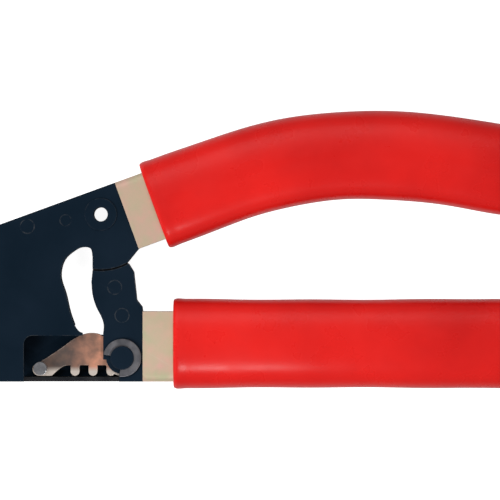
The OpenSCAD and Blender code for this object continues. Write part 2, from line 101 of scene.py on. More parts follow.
def useModifier(piece, kind, **settings):
    pickOnly(piece)
    modifier = piece.modifiers.new(kind.lower(), kind)
    for key, value in settings.items():
        setattr(modifier, key, value)
    bpy.ops.object.modifier_apply(modifier=modifier.name)


def placeInMesh(piece):
    pickOnly(piece)
    bpy.ops.object.transform_apply(location=True, rotation=True, scale=True)


def smoothByAngle(piece, degrees, flatFaces=False):
    pickOnly(piece)
    bpy.ops.object.shade_smooth_by_angle(angle=math.radians(degrees))
    if flatFaces:
        useModifier(piece, "WEIGHTED_NORMAL", keep_sharp=True)


def turnNormalsOut(piece):
    editMesh(piece)
    bpy.ops.mesh.select_all(action="SELECT")
    bpy.ops.mesh.remove_doubles(threshold=0.002 * mm)
    bpy.ops.mesh.normals_make_consistent(inside=False)
    leaveEdit(piece)


def handOver(piece, nodeName, material):
    piece.data.materials.clear()
    piece.data.materials.append(material)
    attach(piece, bodyOf[nodeName])
    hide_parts(nodeName)


# A merged copy of a CAD node, with flat faces joined up
def mergedCopy(nodeName, pieceName):
    piece = bpy.data.objects.new(pieceName, nodes[nodeName].data.copy())
    bpy.context.scene.collection.objects.link(piece)
    editMesh(piece)
    bpy.ops.mesh.select_all(action="SELECT")
    bpy.ops.mesh.remove_doubles(threshold=0.001 * mm)
    bpy.ops.mesh.dissolve_limited(angle_limit=math.radians(0.3))
    leaveEdit(piece)
    return piece


# Rounds the sharp edges for which keep(edge) is true
def roundEdges(piece, width, segments, keep=None, sharp=28, clamp=True):
    mesh = editMesh(piece)
    for edge in mesh.edges:
        isSharp = edge.is_manifold and edge.calc_face_angle() > math.radians(sharp)
        edge.select_set(isSharp and (keep is None or keep(edge)))
    bpy.ops.mesh.bevel(offset=width, segments=segments, profile=0.6, affect="EDGES",
                       clamp_overlap=clamp)
    leaveEdit(piece)


def newGroup(name, inputs, outputs):
    group = bpy.data.node_groups.new(name, "ShaderNodeTree")
    for label, kind, value in inputs:
        socket = group.interface.new_socket(label, in_out="INPUT", socket_type=kind)
        socket.default_value = value
    for label, kind in outputs:
        group.interface.new_socket(label, in_out="OUTPUT", socket_type=kind)
    entry = group.nodes.new("NodeGroupInput")
    leave = group.nodes.new("NodeGroupOutput")
    return group, entry, leave


def addNode(tree, kind, **settings):
    node = tree.nodes.new(kind)
    for key, value in settings.items():
        if key.startswith("in_"):
            node.inputs[key[3:].replace("_", " ")].default_value = value
        else:
            setattr(node, key, value)
    return node


def mathNode(tree, operation, first, second):
    node = addNode(tree, "ShaderNodeMath", operation=operation, use_clamp=True)
    for index, value in enumerate((first, second)):
        if isinstance(value, (int, float)):
            node.inputs[index].default_value = value
        else:
            tree.links.new(value, node.inputs[index])
    return node.outputs[0]


def rampNode(tree, value, low, high):
    node = addNode(tree, "ShaderNodeMapRange", clamp=True)
    node.inputs["From Min"].default_value = low
    node.inputs["From Max"].default_value = high
    tree.links.new(value, node.inputs["Value"])
    return node.outputs["Result"]


# Where rubbing has cut through a finish: along edges, broken up by noise
def makeEdgeWear():
    group, entry, leave = newGroup("edgeWear", [
        ("Vector", "NodeSocketVector", (0, 0, 0)),
        ("Reach", "NodeSocketFloat", 0.0006),
        ("Breakup", "NodeSocketFloat", 400.0),
        ("Amount", "NodeSocketFloat", 0.5)], [("Mask", "NodeSocketFloat")])
    soft = addNode(group, "ShaderNodeBevel", samples=6)
    plain = addNode(group, "ShaderNodeNewGeometry")
    dot = addNode(group, "ShaderNodeVectorMath", operation="DOT_PRODUCT")
    noise = addNode(group, "ShaderNodeTexNoise", in_Detail=5.0, in_Roughness=0.65)
    link = group.links.new
    link(entry.outputs["Reach"], soft.inputs["Radius"])
    link(soft.outputs["Normal"], dot.inputs[0])
    link(plain.outputs["Normal"], dot.inputs[1])
    link(entry.outputs["Vector"], noise.inputs["Vector"])
    link(entry.outputs["Breakup"], noise.inputs["Scale"])
    away = mathNode(group, "SUBTRACT", 1.0, dot.outputs["Value"])
    edge = rampNode(group, away, 0.01, 0.16)
    patch = rampNode(group, noise.outputs["Fac"], 0.4, 0.62)
    worn = mathNode(group, "MULTIPLY", edge, patch)
    link(mathNode(group, "MULTIPLY", worn, entry.outputs["Amount"]), leave.inputs["Mask"])
    return group


# Fine texture of a surface, with a broad and a fine part
def makeFineGrain():
    group, entry, leave = newGroup("fineGrain", [
        ("Vector", "NodeSocketVector", (0, 0, 0)),
        ("Broad", "NodeSocketFloat", 60.0),
        ("Fine", "NodeSocketFloat", 1500.0),
        ("Share", "NodeSocketFloat", 0.5)],
        [("Mask", "NodeSocketFloat"), ("Height", "NodeSocketFloat")])
    broad = addNode(group, "ShaderNodeTexNoise", in_Detail=4.0)
    fine = addNode(group, "ShaderNodeTexNoise", in_Detail=3.0)
    mix = addNode(group, "ShaderNodeMix", data_type="FLOAT")
    link = group.links.new
    for noise, scale in ((broad, "Broad"), (fine, "Fine")):
        link(entry.outputs["Vector"], noise.inputs["Vector"])
        link(entry.outputs[scale], noise.inputs["Scale"])
    link(entry.outputs["Share"], mix.inputs[0])
    link(broad.outputs["Fac"], mix.inputs[2])
    link(fine.outputs["Fac"], mix.inputs[3])
    link(rampNode(group, broad.outputs["Fac"], 0.3, 0.7), leave.inputs["Mask"])
    link(mix.outputs[0], leave.inputs["Height"])
    return group


# Thin scratches that run roughly one way
def makeScratches():
    group, entry, leave = newGroup("scratches", [
        ("Vector", "NodeSocketVector", (0, 0, 0)),
        ("Density", "NodeSocketFloat", 120.0),
        ("Stretch", "NodeSocketFloat", 0.06),
        ("Amount", "NodeSocketFloat", 0.3)], [("Mask", "NodeSocketFloat")])
    comb = addNode(group, "ShaderNodeCombineXYZ", in_Y=1.0, in_Z=1.0)
    squash = addNode(group, "ShaderNodeVectorMath", operation="MULTIPLY")
    turn = addNode(group, "ShaderNodeVectorRotate", rotation_type="Z_AXIS", in_Angle=0.5)
    noise = addNode(group, "ShaderNodeTexNoise", in_Detail=6.0, in_Roughness=0.7)
    link = group.links.new
    link(entry.outputs["Stretch"], comb.inputs["X"])
    link(entry.outputs["Vector"], turn.inputs["Vector"])
    link(turn.outputs[0], squash.inputs[0])
    link(comb.outputs[0], squash.inputs[1])
    link(squash.outputs[0], noise.inputs["Vector"])
    link(entry.outputs["Density"], noise.inputs["Scale"])
    thin = rampNode(group, noise.outputs["Fac"], 0.66, 0.74)
    link(mathNode(group, "MULTIPLY", thin, entry.outputs["Amount"]), leave.inputs["Mask"])
    return group


edgeWear = makeEdgeWear()
fineGrain = makeFineGrain()
scratches = makeScratches()


def startMaterial(name, **shader):
    material = bpy.data.materials.new(name)
    material.use_nodes = True
    tree = material.node_tree
    surface = tree.nodes["Principled BSDF"]
    for key, value in shader.items():
        surface.inputs[key.replace("_", " ")].default_value = value
    place = addNode(tree, "ShaderNodeTexCoord").outputs["Object"]
    return material, tree, surface, place


def placeGroup(tree, group, place, **values):
    node = addNode(tree, "ShaderNodeGroup", node_tree=group)
    tree.links.new(place, node.inputs["Vector"])
    for key, value in values.items():
        node.inputs[key].default_value = value
    return node


def mixColours(tree, mask, first, second):
    node = addNode(tree, "ShaderNodeMix", data_type="RGBA")
    tree.links.new(mask, node.inputs[0])
    for index, colour in ((6, first), (7, second)):
        if isinstance(colour, tuple):
            node.inputs[index].default_value = (*colour, 1.0)
        else:
            tree.links.new(colour, node.inputs[index])
    return node.outputs[2]


def mixValues(tree, mask, first, second):
    node = addNode(tree, "ShaderNodeMapRange", clamp=True)
    tree.links.new(mask, node.inputs["Value"])
    node.inputs["To Min"].default_value = first
    node.inputs["To Max"].default_value = second
    return node.outputs["Result"]


def addBump(tree, surface, height, strength, distance):
    bump = addNode(tree, "ShaderNodeBump", in_Strength=strength, in_Distance=distance)
    tree.links.new(height, bump.inputs["Height"])
    tree.links.new(bump.outputs["Normal"], surface.inputs["Normal"])


blackCoat = {
    "dark": (0.0038, 0.0098, 0.0180), "light": (0.0067, 0.0142, 0.0250),
    "bare": (0.20, 0.20, 0.20), "wear": 0.3, "scratch": 0.06,
    "rough": (0.45, 0.62), "specular": 0.05,
}


def makeBlackCoat():
    look = blackCoat
    material, tree, surface, place = startMaterial("blackCoat",
                                                   Specular_IOR_Level=look["specular"])
    grain = placeGroup(tree, fineGrain, place, Broad=45.0, Fine=2600.0, Share=0.6)
    worn = placeGroup(tree, edgeWear, place, Reach=0.5 * mm, Breakup=520.0,
                      Amount=look["wear"])
    lines = placeGroup(tree, scratches, place, Density=140.0, Amount=look["scratch"])
    coat = mixColours(tree, grain.outputs["Mask"], look["dark"], look["light"])
    marked = mathNode(tree, "MAXIMUM", worn.outputs["Mask"], lines.outputs["Mask"])
    link = tree.links.new
    link(mixColours(tree, marked, coat, look["bare"]), surface.inputs["Base Color"])
    link(mixValues(tree, grain.outputs["Mask"], *look["rough"]),
         surface.inputs["Roughness"])
    link(mixValues(tree, worn.outputs["Mask"], 0.0, 1.0), surface.inputs["Metallic"])
    addBump(tree, surface, grain.outputs["Height"], 0.25, 0.02 * mm)
    return material


darkSteel = {"dark": (0.018, 0.020, 0.025), "light": (0.05, 0.05, 0.055),
             "bare": (0.42, 0.41, 0.4), "wear": 0.6, "rough": (0.32, 0.5)}


def makeDarkSteel():
    look = darkSteel
    material, tree, surface, place = startMaterial("darkSteel", Metallic=0.8)
    grain = placeGroup(tree, fineGrain, place, Broad=120.0, Fine=1800.0, Share=0.5)
    worn = placeGroup(tree, edgeWear, place, Reach=0.5 * mm, Breakup=420.0,
                      Amount=look["wear"])
    steel = mixColours(tree, grain.outputs["Mask"], look["dark"], look["light"])
    link = tree.links.new
    link(mixColours(tree, worn.outputs["Mask"], steel, look["bare"]),
         surface.inputs["Base Color"])
    link(mixValues(tree, grain.outputs["Mask"], *look["rough"]),
         surface.inputs["Roughness"])
    addBump(tree, surface, grain.outputs["Height"], 0.3, 0.02 * mm)
    return material


zincPlate = {"straw": (0.62, 0.44, 0.32), "rose": (0.68, 0.40, 0.34),
             "green": (0.50, 0.47, 0.30), "rough": (0.42, 0.58), "bare": (0.7, 0.66, 0.6)}


# Yellow zinc plating: straw coloured, with rose and green casts
def makeZincPlate():
    look = zincPlate
    material, tree, surface, place = startMaterial("zincPlate", Metallic=0.3)
    grain = placeGroup(tree, fineGrain, place, Broad=90.0, Fine=2200.0, Share=0.4)
    casts = placeGroup(tree, fineGrain, place, Broad=170.0, Fine=900.0, Share=0.3)
    worn = placeGroup(tree, edgeWear, place, Reach=0.5 * mm, Breakup=600.0, Amount=0.5)
    lines = placeGroup(tree, scratches, place, Density=260.0, Stretch=0.04, Amount=0.35)
    first = mixColours(tree, grain.outputs["Mask"], look["straw"], look["rose"])
    second = mixColours(tree, casts.outputs["Mask"], first, look["green"])
    marked = mathNode(tree, "MAXIMUM", worn.outputs["Mask"], lines.outputs["Mask"])
    link = tree.links.new
    link(mixColours(tree, marked, second, look["bare"]), surface.inputs["Base Color"])
    link(mixValues(tree, casts.outputs["Mask"], *look["rough"]),
         surface.inputs["Roughness"])
    addBump(tree, surface, grain.outputs["Height"], 0.25, 0.015 * mm)
    return material


gripPvc = {"deep": (0.56, 0.008, 0.007), "bright": (0.74, 0.013, 0.010),
           "rough": (0.24, 0.36), "specular": 0.3}


# Dipped PVC: an even red with a soft satin skin and faint dimples
def makeGripPvc():
    look = gripPvc
    material, tree, surface, place = startMaterial(
        "gripPvc", Specular_IOR_Level=look["specular"])
    grain = placeGroup(tree, fineGrain, place, Broad=28.0, Fine=260.0, Share=0.2)
    haze = placeGroup(tree, fineGrain, place, Broad=90.0, Fine=420.0, Share=0.35)
    lines = placeGroup(tree, scratches, place, Density=420.0, Stretch=0.03, Amount=0.4)
    link = tree.links.new
    link(mixColours(tree, grain.outputs["Mask"], look["deep"], look["bright"]),
         surface.inputs["Base Color"])
    dull = mathNode(tree, "MAXIMUM", haze.outputs["Mask"], lines.outputs["Mask"])
    link(mixValues(tree, dull, *look["rough"]), surface.inputs["Roughness"])
    addBump(tree, surface, haze.outputs["Height"], 0.12, 0.05 * mm)
    return material


# The pale bare colour marks worn edges and also a painted highlight band along the feet of
# the teeth, which fades out between two heights given in mm above the cam's foot
copperCam = {"copper": (0.92, 0.42, 0.27), "brown": (0.40, 0.22, 0.16),
             "armDark": (0.12, 0.10, 0.095), "armLight": (0.24, 0.155, 0.12),
             "bare": (0.80, 0.70, 0.62), "rough": (0.34, 0.5),
             "paintedHighlightAt": 3.4, "paintedHighlightEnd": 1.6, "armShare": (0.3, 0.62)}


# Copper-flashed steel, browner along the arm; the feet of the teeth get a painted highlight
# (a pale band on the side the light falls from), and worn edges show bare metal
def makeCopperCam(low, high):
    look = copperCam
    material, tree, surface, place = startMaterial("copperCam", Metallic=0.6)
    grain = placeGroup(tree, fineGrain, place, Broad=260.0, Fine=2400.0, Share=0.5)
    worn = placeGroup(tree, edgeWear, place, Reach=0.6 * mm, Breakup=500.0, Amount=0.7)
    where = addNode(tree, "ShaderNodeSeparateXYZ")
    link = tree.links.new
    link(place, where.inputs[0])
    # Painted highlight: paler towards the feet of the teeth, at the lowest part of the cam
    paintedHighlight = rampNode(tree, where.outputs["Y"], low[1] + look["paintedHighlightAt"] * mm,
                      low[1] + look["paintedHighlightEnd"] * mm)
    armFrom, armTo = (low[0] + share * (high[0] - low[0]) for share in look["armShare"])
    hub = rampNode(tree, where.outputs["X"], armFrom, armTo)
    body = mixColours(tree, grain.outputs["Mask"], look["brown"], look["copper"])
    arm = mixColours(tree, grain.outputs["Mask"], look["armDark"], look["armLight"])
    # Bare colour over worn edges (real wear) and over the painted highlight band
    bright = mathNode(tree, "MAXIMUM", paintedHighlight, worn.outputs["Mask"])
    link(mixColours(tree, bright, mixColours(tree, hub, arm, body), look["bare"]),
         surface.inputs["Base Color"])
    link(mixValues(tree, grain.outputs["Mask"], *look["rough"]),
         surface.inputs["Roughness"])
    addBump(tree, surface, grain.outputs["Height"], 0.3, 0.02 * mm)
    return material


phosphatedRing = {"dark": (0.18, 0.18, 0.20), "light": (0.34, 0.335, 0.36),
                  "rough": (0.35, 0.5)}
brightSteel = {"dark": (0.42, 0.42, 0.45), "light": (0.62, 0.62, 0.64),
               "rough": (0.25, 0.42)}
bearingBronze = {"dark": (0.38, 0.2, 0.09), "light": (0.5, 0.28, 0.13),
                 "rough": (0.3, 0.45)}


# Drawn or turned metal with fine lines in its shine
def makeDrawnMetal(name, look):
    material, tree, surface, place = startMaterial(name, Metallic=0.95)
    grain = placeGroup(tree, fineGrain, place, Broad=300.0, Fine=3000.0, Share=0.5)
    lines = placeGroup(tree, scratches, place, Density=500.0, Stretch=0.05, Amount=0.5)
    link = tree.links.new
    link(mixColours(tree, grain.outputs["Mask"], look["dark"], look["light"]),
         surface.inputs["Base Color"])
    spread = mathNode(tree, "MAXIMUM", grain.outputs["Mask"], lines.outputs["Mask"])
    link(mixValues(tree, spread, *look["rough"]), surface.inputs["Roughness"])
    addBump(tree, surface, grain.outputs["Height"], 0.2, 0.01 * mm)
    return material


finishes = {
    "black_steel": makeBlackCoat(),
    "dark_steel": makeDarkSteel(),
    "zinc_yellow": makeZincPlate(),
    "red_pvc": makeGripPvc(),
    "ring": makeDrawnMetal("phosphatedRing", phosphatedRing),
    "bright_steel": makeDrawnMetal("brightSteel", brightSteel),
    "bronze": makeDrawnMetal("bearingBronze", bearingBronze),
    "copper_cam": makeCopperCam(*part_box("gripping_cam")),
}
print("materials ready")


# Edge rounding of each piece in mm, and its segments
rounding = {
    "front_cheek": (0.35, 3), "rear_cheek": (0.35, 3),
    "front_lever_plate": (0.35, 3), "rear_lever_plate": (0.35, 3),
    "lever_core": (0.25, 2), "nose_block": (0.3, 2), "spine_spacer": (0.25, 2),
    "wire_guide": (0.4, 2), "upper_spacer": (0.2, 2), "wire_rest": (0.25, 2),
    "head_rivets": (0.08, 2), "lever_rivets": (0.08, 2),
    "upper_handle_rivets": (0.15, 2), "lower_handle_rivets": (0.15, 2),
    "stop_pin": (0.08, 2), "spring_anchor_pin": (0.08, 2), "pivot_tube": (0.18, 3),
    "pivot_bush": (0.15, 2), "thrust_washers": (0.12, 2), "cam_pin": (0.45, 3),
    "retaining_ring": (0.25, 3), "gripping_cam": (0.4, 3), "release_stud": (0.7, 4),
}
ownFinish = {"retaining_ring": "ring"}  # pieces whose finish isn't their slot's
plateKinds = ("cheek", "plate", "core", "block", "spacer", "guide")
smoothUnder = {"plates": 32, "channels": 40, "grips": 42, "springs": 50}  # degrees
rivetHoleEdge = 0.62 * mm


# The short edges round rivet holes stay sharp
def isOutlineEdge(edge):
    return edge.calc_length() > rivetHoleEdge


for nodeName, (width, segments) in rounding.items():
    piece = mergedCopy(nodeName, nodeName + "_shape")
    isPlate = nodeName.endswith(plateKinds)
    roundEdges(piece, width * mm, segments, isOutlineEdge if isPlate else None)
    smoothByAngle(piece, smoothUnder["plates"], flatFaces=True)
    handOver(piece, nodeName, finishes[ownFinish.get(nodeName, slotOf[nodeName])])
print("plates, blocks and pins rounded")


channelBend = {"outer": 2.6, "inner": 0.8, "edge": 0.3, "halfWidth": 8.0, "margin": 0.1,
               "flatOver": 0.9, "webOver": 0.5}


# A channel whose web lies on the upper side (side 1) or the lower side (side -1)
def makeHandle(nodeName, side):
    handle = mergedCopy(nodeName, nodeName + "_shape")
    high = channelBend["halfWidth"] * mm

    def isWebCorner(edge, convex):
        if edge.is_convex != convex:
            return False
        flat = [abs(face.normal.z) > channelBend["flatOver"] for face in edge.link_faces]
        if sum(flat) != 1:
            return False
        other = edge.link_faces[flat.index(False)]
        outward = side * other.normal.y > channelBend["webOver"]
        atWall = abs(edge.verts[0].co.z) > high - channelBend["margin"] * mm
        return outward == convex and (atWall or not convex)

    roundEdges(handle, channelBend["outer"] * mm, 6,
               lambda edge: isWebCorner(edge, True), clamp=False)
    roundEdges(handle, channelBend["inner"] * mm, 3,
               lambda edge: isWebCorner(edge, False), clamp=False)
    roundEdges(handle, channelBend["edge"] * mm, 2, isOutlineEdge, sharp=50)
    smoothByAngle(handle, smoothUnder["channels"], flatFaces=True)
    handOver(handle, nodeName, finishes["zinc_yellow"])


makeHandle("upper_handle", 1)
makeHandle("lower_handle", -1)
print("channel handles bent")


# A handle is walked as straight lengths and bows, each (length, turn in degrees)
upperWalk = {"tilt": 20.0, "height": 25.0, "bare": 10.0, "stretches": [
    (28.0, 0.0), (50.47, -20.0), (37.0, -10.0), (10.0, 0.0), (26.88, 14.0), (12.0, 0.0)]}
lowerWalk = {"tilt": 0.0, "height": 25.0, "bare": 10.7, "stretches": [
    (117.3, 0.0), (15.71, -6.0), (14.0, 0.0)]}
gripShape = {
    "edge": 3.5, "side": 2.5, "squareness": 3.2, "sides": 32, "station": 6.0,
    "mouthSize": 0.955, "mouth": ((0.35, 0.985), (1.2, 1.012), (2.6, 1.012), (4.6, 1.0)),
    "plainFrom": 5.5, "waist": 0.018, "waistLength": 110, "waves": 0.22, "waveStep": 6.3,
    "capLength": 12.0, "capAngles": (18, 36, 52, 66, 78, 86), "capFullness": 0.8,
    "nubInset": 0.5, "nubLength": 1.2, "nubSize": 0.8,
    "innerCorner": 2.6, "coreStart": -2.0,
}


# Stations along a walk, from its start: place and heading in radians
def walkStations(start, heading, stretches, longest):
    stations = [(start.copy(), heading)]
    place = start.copy()
    for length, turn in stretches:
        count = max(1, math.ceil(length / longest))
        for _ in range(count):
            bend = math.radians(turn) / count
            heading += bend / 2
            step = length / count * mm
            place = place + step * Vector((math.cos(heading), math.sin(heading), 0))
            heading += bend / 2
            stations.append((place.copy(), heading))
    return stations


# Swells a flat circle into a cushion-shaped section
def squareUp(piece, thick, high, power):
    mesh = bmesh.from_edit_mesh(piece.data)
    for vert in mesh.verts:
        angle = math.atan2(vert.co.y, vert.co.x)
        across, along = math.cos(angle), math.sin(angle)
        reach = (abs(across) ** power + abs(along) ** power) ** (-1 / power)
        vert.co = Vector((across * reach, along * reach, 0))
    bmesh.update_edit_mesh(piece.data)
    bpy.ops.transform.resize(value=(thick / 2 * mm, high / 2 * mm, 1))


# Adds a flat section across the walk and leaves it selected, in edit mode
def startSection(name, station, high, thick, corner=0, power=0):
    place, heading = station
    bpy.ops.object.select_all(action="DESELECT")
    if power:
        bpy.ops.mesh.primitive_circle_add(vertices=gripShape["sides"], radius=1,
                                          fill_type="NGON", location=(0, 0, 0))
    else:
        bpy.ops.mesh.primitive_plane_add(size=1, location=(0, 0, 0))
    piece = bpy.context.object
    piece.name = name
    bpy.ops.object.mode_set(mode="EDIT")
    bpy.ops.mesh.select_all(action="SELECT")
    if power:
        squareUp(piece, thick, high, power)
    else:
        bpy.ops.transform.resize(value=(thick * mm, high * mm, 1))
        bpy.ops.mesh.bevel(offset=corner * mm, segments=4, affect="VERTICES",
                           profile=0.5)
    leaveEdit(piece)
    piece.rotation_euler = (0, math.radians(90), heading)
    piece.location = place
    placeInMesh(piece)
    bpy.ops.object.mode_set(mode="EDIT")
    bpy.ops.mesh.select_all(action="SELECT")
    return piece


# Extrudes the selected section on to the next station, grown by a share
def extrudeTo(here, there, grow=1.0):
    bpy.ops.mesh.extrude_region_move(
        TRANSFORM_OT_translate={"value": there[0] - here[0]})
    turn = there[1] - here[1]
    if abs(turn) > 1e-6:
        bpy.ops.transform.rotate(value=-turn, orient_axis="Z",
                                 center_override=there[0])
    if abs(grow - 1) > 1e-6:
        bpy.ops.transform.resize(value=(grow, grow, grow), center_override=there[0])


def stationAhead(station, distance):
    place, heading = station
    ahead = Vector((math.cos(heading), math.sin(heading), 0))
    return place + distance * mm * ahead, heading


# Space that the channel fills inside its grip
def makeChannelCore(name, stations, walk):
    wide = 2 * channelBend["halfWidth"]
    path = [stationAhead(stations[0], gripShape["coreStart"])] + stations[1:]
    core = startSection(name, path[0], walk["height"], wide,
                        corner=gripShape["innerCorner"])
    for here, there in zip(path, path[1:]):
        extrudeTo(here, there)
    leaveEdit(core)
    turnNormalsOut(core)
    return core


# Grip dipped over a channel: a rolled mouth, a crowned section and a round end
def dipGrip(nodeName, start, walk, shift):
    shape = gripShape
    tilt = math.radians(walk["tilt"])
    across = Vector((-math.sin(tilt), math.cos(tilt), 0))
    coreStations = walkStations(start, tilt, walk["stretches"], shape["station"])
    stations = walkStations(start + shift * mm * across, tilt, walk["stretches"],
                            shape["station"])
    high = walk["height"] + 2 * shape["edge"]
    thick = 2 * (channelBend["halfWidth"] + shape["side"])
    grip = startSection(nodeName + "_dip", stations[0], high, thick,
                        power=shape["squareness"])
    size = shape["mouthSize"]
    bpy.ops.transform.resize(value=(size, size, size), center_override=stations[0][0])
    here = stations[0]
    for ahead, wanted in shape["mouth"]:
        there = stationAhead(stations[0], ahead)
        extrudeTo(here, there, wanted / size)
        here, size = there, wanted
    reach = 0.0
    for index, there in enumerate(stations[1:], 1):
        reach += (there[0] - stations[index - 1][0]).length / mm
        if reach < shape["plainFrom"]:
            continue
        along = min(reach / shape["waistLength"], 1)
        waist = 1 - shape["waist"] * math.sin(along * math.pi)
        wave = 1 + shape["waves"] / high * math.sin(reach / shape["waveStep"])
        extrudeTo(here, there, waist * wave / size)
        here, size = there, waist * wave
    for angle in map(math.radians, shape["capAngles"]):
        there = stationAhead(stations[-1], shape["capLength"] * math.sin(angle))
        wanted = math.cos(angle) ** shape["capFullness"]
        extrudeTo(here, there, wanted / size)
        here, size = there, wanted
    nubEnd = stationAhead(here, shape["nubLength"])
    bpy.ops.mesh.inset(thickness=shape["nubInset"] * mm)
    extrudeTo(here, nubEnd, shape["nubSize"])
    leaveEdit(grip)
    turnNormalsOut(grip)
    useModifier(grip, "SUBSURF", levels=2, render_levels=2)
    core = makeChannelCore(nodeName + "_core", coreStations, walk)
    useModifier(grip, "BOOLEAN", operation="DIFFERENCE", solver="EXACT", object=core)
    bpy.data.objects.remove(core)
    smoothByAngle(grip, smoothUnder["grips"])
    handOver(grip, nodeName, finishes["red_pvc"])


# The axis of a channel, and the middle of its open end from the corner of its box
def channelStart(nodeName, walk):
    low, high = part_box(nodeName)
    tilt = math.radians(walk["tilt"])
    half = walk["height"] / 2 * mm
    axis = Vector((math.cos(tilt), math.sin(tilt), 0))
    return axis, Vector((low[0] + half * math.sin(tilt), low[1] + half * math.cos(tilt), 0))


upperAxis, upperStart = channelStart("upper_handle", upperWalk)
lowerStart = Vector((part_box("lower_handle")[0][0],
                     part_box("wire_rest")[0][1] + lowerWalk["height"] / 2 * mm, 0))
dipGrip("upper_grip", upperStart + upperWalk["bare"] * mm * upperAxis, upperWalk, 0.0)
dipGrip("lower_grip", lowerStart + Vector((lowerWalk["bare"] * mm, 0, 0)), lowerWalk, 1.0)
print("grips dipped")

returnSpring = {"wire": 0.9, "outer": 5.0, "pitch": 0.98, "steps": 20, "sides": 10,
                "eyeInset": (0.71, 0.61), "eyeReach": 4.8, "hookGap": 0.2, "endGap": 1.2,
                "loopFrom": 170, "loopStep": 16.5, "loopSteps": 21}


# A wire coil along Z from the origin, closed at both ends
def windCoil(name, radius, wire, pitch, turns, steps, sides):
    bpy.ops.object.select_all(action="DESELECT")
    bpy.ops.mesh.primitive_circle_add(vertices=sides, radius=wire / 2 * mm,
                                      fill_type="NGON", location=(radius * mm, 0, 0),
                                      rotation=(math.radians(90), 0, 0))
    coil = bpy.context.object
    coil.name = name
    placeInMesh(coil)
    useModifier(coil, "SCREW", axis="Z", angle=math.radians(360 * turns),
                screw_offset=pitch * turns * mm, iterations=1,
                steps=int(steps * turns), render_steps=int(steps * turns))
    turnNormalsOut(coil)
    return coil


# A bent wire: a round section swept through the points
def bendWire(name, points, wire, sides):
    first = (points[1] - points[0]).normalized()
    bpy.ops.object.select_all(action="DESELECT")
    bpy.ops.mesh.primitive_circle_add(vertices=sides, radius=wire / 2 * mm,
                                      fill_type="NGON", location=points[0],
                                      rotation=first.to_track_quat("Z", "Y").to_euler())
    bent = bpy.context.object
    bent.name = name
    placeInMesh(bent)
    bpy.ops.object.mode_set(mode="EDIT")
    bpy.ops.mesh.select_all(action="SELECT")
    heading = first
    for index in range(1, len(points)):
        last = index == len(points) - 1
        onward = points[index + (0 if last else 1)] - points[index - (1 if last else 0)]
        onward = (heading if onward.length == 0 else onward).normalized()
        bpy.ops.mesh.extrude_region_move(
            TRANSFORM_OT_translate={"value": points[index] - points[index - 1]})
        mesh = bmesh.from_edit_mesh(bent.data)
        spin = heading.rotation_difference(onward).to_matrix()
        for vert in mesh.verts:
            if vert.select:
                vert.co = points[index] + spin @ (vert.co - points[index])
        heading = onward
    leaveEdit(bent)
    turnNormalsOut(bent)
    return bent


def joinPieces(name, pieces):
    bpy.ops.object.select_all(action="DESELECT")
    for piece in pieces:
        piece.select_set(True)
    bpy.context.view_layer.objects.active = pieces[0]
    bpy.ops.object.join()
    pieces[0].name = name
    return pieces[0]


def turnAboutOrigin(piece, degrees, axis):
    editMesh(piece)
    bpy.ops.mesh.select_all(action="SELECT")
    bpy.ops.transform.rotate(value=-math.radians(degrees), orient_axis=axis,
                             center_override=(0, 0, 0))
    leaveEdit(piece)


def slidePiece(piece, offset):
    editMesh(piece)
    bpy.ops.mesh.select_all(action="SELECT")
    bpy.ops.transform.translate(value=offset)
    leaveEdit(piece)


def finishSpring(spring, nodeName):
    smoothByAngle(spring, smoothUnder["springs"])
    spring.data.materials.clear()
    spring.data.materials.append(finishes[slotOf[nodeName]])
    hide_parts(nodeName)


# Extension spring: a hook through the lever's ear, close coils, and a loop on the pin
def makeReturnSpring():
    shape = returnSpring
    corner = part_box("return_spring")[1]
    insetX, insetY = shape["eyeInset"]
    eye = Vector((corner[0] - insetX * mm, corner[1] - insetY * mm, 0))
    pinLow, pinHigh = (Vector(side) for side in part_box("spring_anchor_pin"))
    anchor = (pinLow + pinHigh) / 2
    anchor.z = 0
    span = (anchor - eye).length / mm
    loop = (pinHigh.x - pinLow.x) / 2 / mm + shape["hookGap"] + shape["wire"] / 2
    radius = (shape["outer"] - shape["wire"]) / 2
    first = shape["eyeReach"]
    turns = int((span - loop - shape["endGap"] - first) / shape["pitch"])
    last = first + turns * shape["pitch"]
    coil = windCoil("return_coil", radius, shape["wire"], shape["pitch"], turns,
                    shape["steps"], shape["sides"])
    turnAboutOrigin(coil, 90, "Y")
    slidePiece(coil, (first * mm, 0, 0))
    hookLine = [(first, -radius), (1.0, -radius), (0.3, -radius + 0.3), (0, -1.0),
                (0, 1.0), (0.3, radius - 0.3), (1.0, radius), (first - 0.3, radius)]
    hook = bendWire("return_hook", [Vector((x, 0, z)) * mm for x, z in hookLine],
                    shape["wire"], shape["sides"])
    loopLine = [Vector((last, 0, -radius)), Vector((last + 0.45, 0, -radius + 0.35)),
                Vector((last + 0.85, 0.12, -radius + 1.15))]
    for step in range(shape["loopSteps"]):
        angle = math.radians(shape["loopFrom"] - step * shape["loopStep"])
        loopLine.append(Vector((span + loop * math.cos(angle), loop * math.sin(angle), 0)))
    eyelet = bendWire("return_eyelet", [point * mm for point in loopLine],
                      shape["wire"], shape["sides"])
    spring = joinPieces("return_spring_wire", [coil, hook, eyelet])
    heading = math.degrees(math.atan2(anchor.y - eye.y, anchor.x - eye.x))
    turnAboutOrigin(spring, heading, "Z")
    slidePiece(spring, eye)
    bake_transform(spring)
    finishSpring(spring, "return_spring")


camSpring = {"wire": 0.9, "sides": 10, "steps": 28, "turns": 1.86, "turnGap": 0.02,
             "legStart": 0.3, "legBend": 1.5, "legBack": 5.2, "postAngle": 50,
             "postFoot": 0.9, "blend": (3.2, -1.5)}


